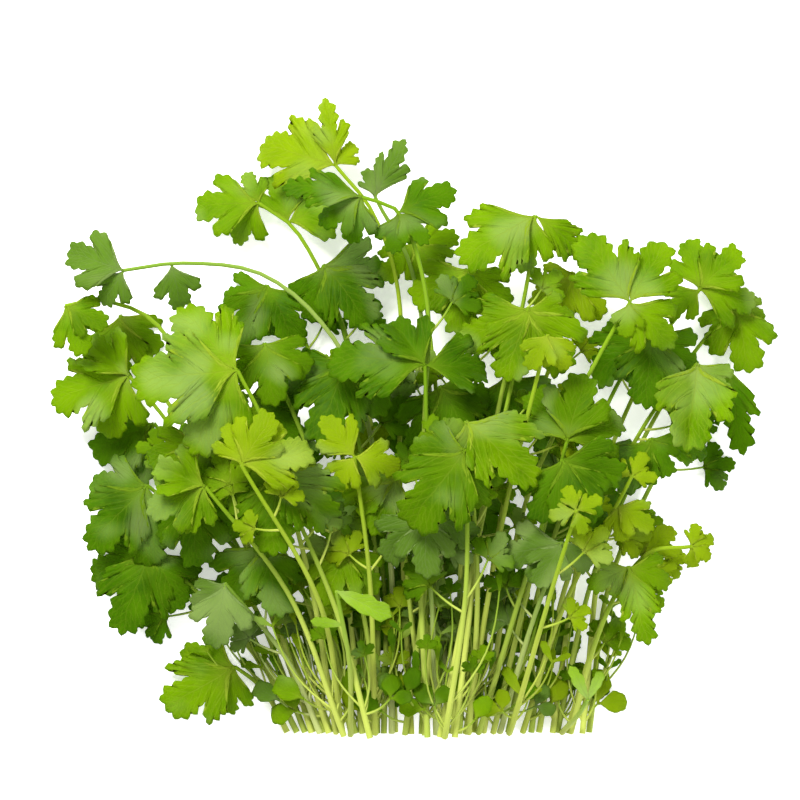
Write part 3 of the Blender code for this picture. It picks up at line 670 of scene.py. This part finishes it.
def shoot_leaf(name, root, heading, turns, size, kind):
    """Small leaflets that fan out from the end of a shoot."""
    surfaces = []
    waist = math.radians(SHOOT_WAIST)
    for index, turn in enumerate(turns):
        grown = size * (1 if index == len(turns) // 2 else SHOOT_SIDE_LEAFLET)
        leaflet = Leaflet(index, heading + math.radians(turn), grown, 0, kind)
        blade = blade_bend(leaflet, name, heading)
        surfaces.append(laid_leaflet(leaflet, blade, SHOOT_LEAF_TURN, (waist, waist), root))
    return surfaces


def drawn_shoot(name, line, length, shoots, rng):
    """One shoot drawn by chance: its path, and the leaflets at its end."""
    start = rng.uniform(*shoots.start)
    share = start / length if start > 1 else start
    root = point_on(line, share)
    ahead = point_on(line, share + LOOK_AHEAD) - root
    side = rng.choice((-1, 1))
    heading = math.atan2(ahead[1], ahead[0]) + side * math.radians(rng.uniform(*shoots.turn))
    reach = rng.uniform(*shoots.length)
    rise = rng.uniform(*shoots.rise)
    run = np.linspace(0, 1, SHOOT_RINGS)
    across = np.array((-math.sin(heading), math.cos(heading), 0)) * side
    path = root + run[:, None] * reach * np.array((math.cos(heading), math.sin(heading), 0))
    path += across * (shoots.bow * reach * np.sin(math.pi * run))[:, None]
    path[:, 2] += rise * run ** SHOOT_RISE
    size = rng.uniform(*shoots.size)
    turns = rng.choice(shoots.leaflets)
    kind = shoots.form if len(turns) < LOBED_FROM else "lobed"
    return path, shoot_leaf(name, path[-1], heading_of(path, 1), turns, size, kind)


def lies_clear(path, leaf, solids):
    """Whether a shoot and its leaflets stay above the table and meet no solid."""
    if min(points[:, 2].min() for points, flat, faces in leaf) < SHOOT_LEAF_CLEAR:
        return False
    if path[:, 2].min() < SHOOT_CLEAR or not open_way(solids, path[RINGS_IN_STALK:]):
        return False
    for points, flat, faces in leaf:
        chosen = np.linspace(0, len(points) - 1, RIM_POINTS).astype(int)
        if not all(open_way(solids, np.array((path[-1], rim))) for rim in points[chosen]):
            return False
    return True


def side_shoots(stem, line, length, shoots, solids):
    """Thin shoots of one stem that find their way clear of every solid, with their small leaves."""
    rng = random.Random(f"{stem.name} {shoots.rise}")
    lines = []
    surfaces = []
    for place in range(shoots.count):
        for tried in range(SHOOT_TRIES):
            path, leaf = drawn_shoot(f"{stem.name} {place}", line, length, shoots, rng)
            if lies_clear(path, leaf, solids):
                tones = SHOOT_TONE[0] + SHOOT_TONE[1] * np.linspace(0, 1, SHOOT_RINGS)
                lines.append((path, np.linspace(*shoots.radii, SHOOT_RINGS), tones))
                surfaces += leaf
                break
    return lines, surfaces


def input_names(tree):
    """Identifier of each named input."""
    return {item.name: item.identifier for item in tree.interface.items_tree if item.in_out == "INPUT"}


def placed(tree, kind, inputs=(), **settings):
    """A new node's outputs, once its settings are made and its inputs are linked to sockets or set."""
    node = tree.nodes.new(kind)
    for label, value in settings.items():
        setattr(node, label, value)
    for label, value in dict(inputs).items():
        if isinstance(value, bpy.types.NodeSocket):
            tree.links.new(value, node.inputs[label])
        else:
            node.inputs[label].default_value = value
    return node.outputs


def new_tree(name, kind, inputs, outputs):
    """An empty tree with named inputs (name, kind, value) and outputs, and the sockets to link them by."""
    tree = bpy.data.node_groups.new(name, kind)
    for label, sort, value in inputs:
        socket = tree.interface.new_socket(label, in_out="INPUT", socket_type="NodeSocket" + sort)
        if value is not None:
            socket.default_value = value
    for label, sort in outputs:
        tree.interface.new_socket(label, in_out="OUTPUT", socket_type="NodeSocket" + sort)
    return tree, tree.nodes.new("NodeGroupInput").outputs, tree.nodes.new("NodeGroupOutput").inputs


def maths(tree, operation, *values):
    """The result of a maths node on sockets or numbers."""
    return placed(tree, "ShaderNodeMath", dict(enumerate(values)), operation=operation)[0]


def stored(tree, name):
    """The values stored on a mesh or curve under a name."""
    kind = "GeometryNodeInputNamedAttribute"
    return placed(tree, kind, {"Name": name}, data_type="FLOAT")["Attribute"]


def tube_tree():
    """Sweeps ribbed tubes along every run of edges, as thick as the radius stored along it."""
    outputs = [("Stalks", "Geometry")]
    tree, given, result = new_tree("Ribbed stalks", "GeometryNodeTree", TUBE_INPUTS, outputs)
    curve = placed(tree, "GeometryNodeMeshToCurve", {"Mesh": given["Lines"]})["Curve"]

    # Profile: a circle with ribs
    circle = placed(tree, "GeometryNodeCurvePrimitiveCircle", {"Radius": 1, "Resolution": given["Sides"]})
    factor = placed(tree, "GeometryNodeSplineParameter")["Factor"]
    around = placed(tree, "GeometryNodeStoreNamedAttribute",
                    {"Geometry": circle["Curve"], "Name": "around", "Value": factor})
    angle = maths(tree, "MULTIPLY", maths(tree, "MULTIPLY", factor, given["Ribs"]), 2 * math.pi)
    wave = maths(tree, "MULTIPLY", maths(tree, "COSINE", angle), given["Rib depth"])
    place = placed(tree, "GeometryNodeInputPosition")["Position"]
    pushed = placed(tree, "ShaderNodeVectorMath", {"Vector": place, "Scale": maths(tree, "ADD", wave, 1)},
                    operation="SCALE")
    profile = placed(tree, "GeometryNodeSetPosition",
                     {"Geometry": around["Geometry"], "Position": pushed["Vector"]})

    # Tubes, mapped around and along
    swept = placed(tree, "GeometryNodeCurveToMesh",
                   {"Curve": curve, "Profile Curve": profile["Geometry"], "Scale": stored(tree, "radius"),
                    "Fill Caps": True})
    where = placed(tree, "ShaderNodeCombineXYZ", {"X": stored(tree, "around"), "Y": stored(tree, "share")})
    mapped = placed(tree, "GeometryNodeStoreNamedAttribute",
                    {"Geometry": swept["Mesh"], "Name": "Leaf", "Value": where["Vector"]},
                    data_type="FLOAT2", domain="CORNER")
    smooth = placed(tree, "GeometryNodeSetShadeSmooth", {"Geometry": mapped["Geometry"]})
    real = placed(tree, "GeometryNodeRealizeInstances", {"Geometry": smooth["Geometry"]})
    skin = placed(tree, "GeometryNodeSetMaterial", {"Geometry": real["Geometry"], "Material": given["Skin"]})
    tree.links.new(skin["Geometry"], result["Stalks"])
    return tree


def linked(name, data):
    """A new object in the scene."""
    thing = bpy.data.objects.new(name, data)
    bpy.context.scene.collection.objects.link(thing)
    return thing


def made_plain(thing):
    """The object with its modifiers worked into a plain mesh."""
    graph = bpy.context.evaluated_depsgraph_get()
    mesh = bpy.data.meshes.new_from_object(thing.evaluated_get(graph))
    thing.modifiers.clear()
    thing.data = mesh
    return thing


def swept_tubes(name, lines, sides, ribs, depth, tree, skin):
    """Tubes along lines of (points, radii, shares), as one plain mesh object."""
    points = np.vstack([line[0] for line in lines])
    radii = np.concatenate([line[1] for line in lines])
    points[:, 2] = np.maximum(points[:, 2], radii * (1 + depth) + LEAST_HEIGHT)
    edges = []
    start = 0
    for line in lines:
        edges += [(start + k, start + k + 1) for k in range(len(line[0]) - 1)]
        start += len(line[0])
    mesh = bpy.data.meshes.new(name)
    mesh.from_pydata((points * MM).tolist(), edges, [])
    shares = np.concatenate([line[2] for line in lines])
    for label, values in (("radius", radii * MM), ("share", shares)):
        layer = mesh.attributes.new(label, "FLOAT", "POINT")
        layer.data.foreach_set("value", values.astype(np.float32))
    tubes = linked(name, mesh)
    sweep = tubes.modifiers.new("Sweep", "NODES")
    sweep.node_group = tree
    names = input_names(tree)
    sweep[names["Sides"]] = sides
    sweep[names["Ribs"]] = float(ribs)
    sweep[names["Rib depth"]] = depth
    sweep[names["Skin"]] = skin
    made_plain(tubes)
    solid = bmesh.new()
    solid.from_mesh(tubes.data)
    bmesh.ops.recalc_face_normals(solid, faces=solid.faces)
    solid.to_mesh(tubes.data)
    solid.free()
    return tubes


def blade_shells(name, surfaces, top, under):
    """All leaflets of a stem as thin closed shells, their undersides in a finish of their own."""
    corners = []
    faces = []
    places = []
    for points, flat, own_faces in surfaces:
        start = sum(len(part) for part in corners)
        corners.append(points)
        places.append(flat)
        faces += [tuple(start + corner for corner in face) for face in own_faces]
    mesh = bpy.data.meshes.new(name)
    used, order = np.unique(np.array(faces), return_inverse=True)
    faces = order.reshape(-1, 4)
    places = np.vstack(places)[used]
    corners = np.vstack(corners)[used]
    corners[:, 2] = np.maximum(corners[:, 2], BLADE_THICKNESS / 2 + LEAST_HEIGHT)
    mesh.from_pydata((corners * MM).tolist(), [], faces.tolist())
    mesh.materials.append(top)
    mesh.materials.append(under)
    layer = mesh.uv_layers.new(name="Leaf")
    loops = np.empty(len(mesh.loops), np.int32)
    mesh.loops.foreach_get("vertex_index", loops)
    layer.data.foreach_set("uv", places[loops].astype(np.float32).ravel())
    mesh.shade_smooth()
    blades = linked(name, mesh)
    shell = blades.modifiers.new("Thickness", "SOLIDIFY")
    shell.thickness = BLADE_THICKNESS * MM
    shell.offset = 0
    shell.use_even_offset = False
    shell.material_offset = 1
    shell.material_offset_rim = 0
    return made_plain(blades)


def joined(name, things):
    """Several objects made one."""
    with bpy.context.temp_override(active_object=things[0], selected_editable_objects=things):
        bpy.ops.object.join()
    things[0].name = name
    things[0].data.name = name
    return things[0]


def leaf_parts(stem, line, length):
    """All leaflets of a stem bent into place, and the lines of their ribs."""
    onward = heading_of(line, TIP_RINGS)
    surfaces = []
    ribs = []
    for back in sorted({leaflet.back for leaflet in leaflets_of(stem)}):
        group = sorted((one for one in leaflets_of(stem) if one.back == back), key=lambda one: one.heading)
        headings = [one.heading for one in group]
        root = point_on(line, 1 - back / length)
        for place, leaflet in enumerate(group):
            blade = blade_bend(leaflet, stem.name, onward)
            waists = waist_angles(headings, place)
            surfaces.append(laid_leaflet(leaflet, blade, stem.turn, waists, root))
            axes = blade_frame(leaflet.heading, blade["pitch"], math.radians(stem.turn))
            for run, thick in leaflet_ribs(leaflet):
                path = bent_points(run, np.full(len(run), RIB_LIFT), leaflet.size, axes, blade) + root
                ribs.append((path, thick, np.ones(len(run))))
    return surfaces, ribs


def shoot_parts(stem, line, length, solids):
    """All side shoots of a stem and their small leaves; the seedlings have none."""
    lines = []
    surfaces = []
    if stem.look == "seed":
        return lines, surfaces
    low = (SEED_SHOOTS,) if stem.height > SEED_SHOOT_HEIGHT else ()
    for kind in (FOOT_SHOOTS, CROWN_SHOOTS, *low):
        more, leaves = side_shoots(stem, line, length, kind, solids)
        lines += more
        surfaces += leaves
    return lines, surfaces


def sprig(stem, tree, finishes, solids):
    """One leafy stem in fine form: ribbed stalk, toothed leaflets with their ribs, and side shoots."""
    corners = node_points(stem.name)
    stem, base_z = foot_of(stem, corners)
    line, radii, length = stalk_line(stem, base_z, tip_height(stem, corners))
    leaflets, ribs = leaf_parts(stem, line, length)
    shoots, small_leaflets = shoot_parts(stem, line, length, solids)
    stalks = [(line, radii, np.linspace(0, 1, len(line)))]
    top, under, skin = finishes[stem.look]
    blades = blade_shells(stem.name + "_blades", leaflets + small_leaflets, top, under)
    stalk = swept_tubes(stem.name + "_stalk", stalks, STALK_SIDES, STALK_RIBS, RIB_DEPTH, tree, skin)
    veins = swept_tubes(stem.name + "_ribs", ribs + shoots, SHOOT_SIDES, 0, 0.0, tree, skin)
    return joined(stem.name + "_sprig", [blades, stalk, veins])


def ramp(tree, value, low, high, start=0.0, end=1.0):
    """Value eased from start to end as it goes from low to high."""
    inputs = {"Value": value, "From Min": low, "From Max": high, "To Min": start, "To Max": end}
    return placed(tree, "ShaderNodeMapRange", inputs, interpolation_type="SMOOTHSTEP")["Result"]


def off_line(tree, value):
    """How far a value is from the nearest whole number."""
    return maths(tree, "ABSOLUTE", maths(tree, "SUBTRACT", value, maths(tree, "ROUND", value)))


def vein_group():
    """Side veins, and rays that fan out from a leaflet's root and fork twice on the way to its teeth."""
    group, given, result = new_tree("Fan veins", "ShaderNodeTree", [("Width", "Float", VEIN_WIDTH)],
                                    [("Veins", "Float"), ("Height", "Float"), ("Reach", "Float")])
    width = given["Width"]
    place = placed(group, "ShaderNodeUVMap", uv_map="Leaf")["UV"]
    spot = placed(group, "ShaderNodeSeparateXYZ", {"Vector": place})
    noise = {"Scale": VEIN_NOISE[0], "Detail": VEIN_NOISE[1], "Vector": place}
    wander = placed(group, "ShaderNodeTexNoise", noise)["Fac"]
    across = maths(group, "MULTIPLY_ADD", spot["X"], 1 / MAP_SCALE[0], -1.0)
    along = maths(group, "ADD", spot["Y"], VEIN_ROOT)
    bend = maths(group, "MULTIPLY_ADD", wander, VEIN_WANDER, -VEIN_WANDER / 2)
    angle = maths(group, "ADD", maths(group, "ARCTAN2", across, along), bend)
    squares = maths(group, "ADD", maths(group, "MULTIPLY", across, across),
                    maths(group, "MULTIPLY", along, along))
    reach = maths(group, "SQRT", squares)

    # Side veins as slanted rows off the midrib
    slant = maths(group, "ABSOLUTE", across)
    row = maths(group, "MULTIPLY_ADD", slant, SIDE_VEIN_SLOPE, spot["Y"])
    row = maths(group, "MULTIPLY_ADD", wander, SIDE_VEIN_WANDER, row)
    off = off_line(group, maths(group, "MULTIPLY", row, SIDE_VEIN_ROWS))
    thin = ramp(group, off, 0.0, maths(group, "MULTIPLY", width, SIDE_VEIN_WIDTH), 1.0, 0.0)
    veins = maths(group, "MULTIPLY", thin, SIDE_VEIN_STRENGTH)

    # Rays from the root, with more of them farther out
    for rays, start in VEIN_RAYS:
        off = off_line(group, maths(group, "MULTIPLY", angle, rays / math.pi))
        distance = maths(group, "MULTIPLY", maths(group, "MULTIPLY", off, math.pi / rays), reach)
        thin = ramp(group, distance, 0.0, width, 1.0, 0.0)
        if start:
            forked = ramp(group, reach, start, start + RAY_FADE, 0.0, FORK_STRENGTH)
            thin = maths(group, "MULTIPLY", thin, forked)
        veins = maths(group, "MAXIMUM", veins, thin)
    cells = placed(group, "ShaderNodeTexVoronoi", {"Scale": QUILT_CELLS, "Vector": place})
    quilt = maths(group, "MULTIPLY", cells["Distance"], QUILT_HEIGHT)
    group.links.new(veins, result["Veins"])
    group.links.new(reach, result["Reach"])
    group.links.new(maths(group, "SUBTRACT", quilt, veins), result["Height"])
    return group


def mottle_group():
    """Uneven tone over a surface: broad patches, pale patches of painted sheen and a fine grain, in
    millimetres.
    """
    sizes = [(tone[1], "Float", tone[2]) for tone in TONES]
    outputs = [(tone[0], "Float") for tone in TONES]
    group, given, result = new_tree("Mottle", "ShaderNodeTree", sizes, outputs)
    place = placed(group, "ShaderNodeTexCoord")["Object"]
    for label, size, millimetres, detail, low, high in TONES:
        scale = maths(group, "DIVIDE", 1 / MM, given[size])
        noise = placed(group, "ShaderNodeTexNoise", {"Vector": place, "Scale": scale, "Detail": detail})
        group.links.new(ramp(group, noise["Fac"], low, high), result[label])
    return group


def opaque(colour):
    """A plain colour with full opacity, or a socket as it is."""
    return (*colour, 1) if isinstance(colour, tuple) else colour


def blended(tree, share, first, second):
    """Two colours, each a socket or plain, mixed by a share."""
    inputs = zip(MIX_INPUTS, (share, opaque(first), opaque(second)))
    return placed(tree, "ShaderNodeMix", inputs, data_type="RGBA")[MIX_RESULT]


def mottled(tree, mottle, finish):
    """The mottle group's outputs at a finish's own sizes."""
    sizes = {"Patch size": finish["patch"], "Grain size": finish["grain"]}
    return placed(tree, "ShaderNodeGroup", sizes, node_tree=mottle)


def veined(tree, veins, finish):
    """The vein group's outputs at a finish's own width."""
    return placed(tree, "ShaderNodeGroup", {"Width": finish["width"]}, node_tree=veins)


def tinted(tree, share, strength, first, second):
    """The first colour turned toward the second where a share is high."""
    return blended(tree, maths(tree, "MULTIPLY", share, strength), first, second)


def thin_leaf(material, colour, glow, rough_by, height, finish):
    """A thin leaf's shading: light is partly sent back and partly let through."""
    tree = material.node_tree
    relief = {"Strength": finish["bump"], "Distance": BUMP_DISTANCE * MM, "Height": height}
    bump = placed(tree, "ShaderNodeBump", relief)["Normal"]
    shader = tree.nodes["Principled BSDF"]
    shader.inputs["Specular IOR Level"].default_value = SPECULAR
    tree.links.new(colour, shader.inputs["Base Color"])
    tree.links.new(ramp(tree, rough_by, 0, 1, *finish["rough"]), shader.inputs["Roughness"])
    tree.links.new(bump, shader.inputs["Normal"])
    behind = placed(tree, "ShaderNodeBsdfTranslucent", {"Color": glow, "Normal": bump})["BSDF"]
    mix = placed(tree, "ShaderNodeMixShader", enumerate((finish["through"], shader.outputs["BSDF"], behind)))
    tree.links.new(mix["Shader"], tree.nodes["Material Output"].inputs["Surface"])


def new_material(name):
    """A material with nodes."""
    material = bpy.data.materials.new(name)
    material.use_nodes = True
    return material


def leaf_top(name, look, veins, mottle):
    """Upper face: green patches, pale veins, a lighter root and faint patches of painted sheen."""
    material = new_material(name)
    tree = material.node_tree
    lines = veined(tree, veins, TOP)
    tone = mottled(tree, mottle, TOP)
    green = blended(tree, tone["Patches"], look.deep, look.leaf)
    green = tinted(tree, tone["Grain"], TOP["grain_tint"], green, look.leaf)
    near_root = ramp(tree, lines["Reach"], *TOP["root"], TOP["root_tint"], 0.0)
    green = blended(tree, near_root, green, look.under)
    # Pale patches of painted sheen, standing in for the lamp's highlights
    green = tinted(tree, tone["Bloom"], TOP["painted_sheen_tint"], green, PAINTED_SHEEN)
    colour = tinted(tree, lines["Veins"], TOP["vein_tint"], green, look.under)
    glow = tinted(tree, lines["Veins"], TOP["vein_glow"], look.glow, look.leaf)
    thin_leaf(material, colour, glow, tone["Patches"], lines["Height"], TOP)
    return material


def leaf_under(name, look, veins, mottle):
    """Underside: paler and duller, with raised veins."""
    material = new_material(name)
    tree = material.node_tree
    lines = veined(tree, veins, UNDER)
    tone = mottled(tree, mottle, UNDER)
    colour = tinted(tree, tone["Patches"], UNDER["patch_tint"], look.under, look.leaf)
    colour = tinted(tree, lines["Veins"], UNDER["vein_tint"], colour, look.under)
    glow = tinted(tree, lines["Veins"], UNDER["vein_glow"], look.glow, look.leaf)
    raised = maths(tree, "MULTIPLY", lines["Height"], -1.0)
    thin_leaf(material, colour, glow, tone["Grain"], raised, UNDER)
    return material


def stalk_skin(name, look, mottle):
    """Stalks: pale and watery at the cut end, greener toward the leaf, with fine lengthwise streaks."""
    material = new_material(name)
    tree = material.node_tree
    place = placed(tree, "ShaderNodeUVMap", uv_map="Leaf")["UV"]
    along = placed(tree, "ShaderNodeSeparateXYZ", {"Vector": place})["Y"]
    stretched = placed(tree, "ShaderNodeMapping", {"Scale": SKIN["streaks"], "Vector": place})["Vector"]
    noise = {"Scale": SKIN["streak_scale"], "Detail": SKIN["streak_detail"], "Vector": stretched}
    streaks = placed(tree, "ShaderNodeTexNoise", noise)["Fac"]
    tone = mottled(tree, mottle, SKIN)
    rise = ramp(tree, along, *SKIN["rise"])
    tip = tuple(SKIN["tip_tint"] * (a + b) for a, b in zip(STALK_TIP, look.leaf))
    colour = blended(tree, rise, look.stalk, tip)
    colour = tinted(tree, streaks, SKIN["streak_tint"], colour, look.under)
    colour = tinted(tree, tone["Patches"], SKIN["patch_tint"], colour, STALK_TIP)
    glow = blended(tree, rise, look.stalk, look.glow)
    thin_leaf(material, colour, glow, tone["Grain"], streaks, SKIN)
    return material


def stage_floor():
    """Plain pale table top the bunch lies on."""
    mesh = bpy.data.meshes.new("table_top")
    solid = bmesh.new()
    bmesh.ops.create_grid(solid, x_segments=1, y_segments=1, size=FLOOR_REACH)
    solid.to_mesh(mesh)
    solid.free()
    floor = linked("table_top", mesh)
    material = new_material("Table top")
    shader = material.node_tree.nodes["Principled BSDF"]
    shader.inputs["Base Color"].default_value = (*FLOOR_COLOUR, 1)
    shader.inputs["Roughness"].default_value = FLOOR_ROUGHNESS
    shader.inputs["Emission Color"].default_value = (*WHITE, 1)
    shader.inputs["Emission Strength"].default_value = FLOOR_GLOW
    mesh.materials.append(material)


def soft_light(name, place, size, watts, colour):
    """A round lamp that faces the bunch."""
    lamp = bpy.data.lights.new(name, "AREA")
    lamp.shape = "DISK"
    lamp.size = size
    lamp.energy = watts
    lamp.color = colour
    holder = linked(name, lamp)
    holder.location = place
    holder.rotation_euler = Vector(place).to_track_quat("Z", "Y").to_euler()


def studio():
    """Even white surroundings with one broad lamp over the crown side and a weak one opposite."""
    world = bpy.data.worlds.new("Studio")
    world.use_nodes = True
    back = world.node_tree.nodes["Background"]
    back.inputs["Color"].default_value = (*WHITE, 1)
    back.inputs["Strength"].default_value = SKY
    bpy.context.scene.world = world
    for lamp in LAMPS:
        soft_light(*lamp)
    bpy.context.scene.view_settings.view_transform = "Standard"


def camera():
    """Straight down on the lying bunch, as the photo looks straight at the standing one."""
    lens = bpy.data.cameras.new("Camera")
    lens.sensor_width = SENSOR
    lens.lens = SENSOR * CAMERA_HEIGHT / PICTURE_WIDTH
    holder = linked("Camera", lens)
    holder.location = (*PICTURE_MIDDLE, FOCUS_HEIGHT + CAMERA_HEIGHT)
    bpy.context.scene.camera = holder


def dress():
    """Every packed stem replaced by its fine form."""
    tree = tube_tree()
    solids = solid_tree()
    veins = vein_group()
    mottle = mottle_group()
    finishes = {
        key: (leaf_top(key + "_upper", look, veins, mottle), leaf_under(key + "_under", look, veins, mottle),
              stalk_skin(key + "_stalk", look, mottle))
        for key, look in LOOKS.items()
    }
    for row in STEMS:
        stem = Stem(*row)
        piece = sprig(stem, tree, finishes, solids)
        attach(piece, "root")
        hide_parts(stem.name)


camera()
studio()
stage_floor()
dress()
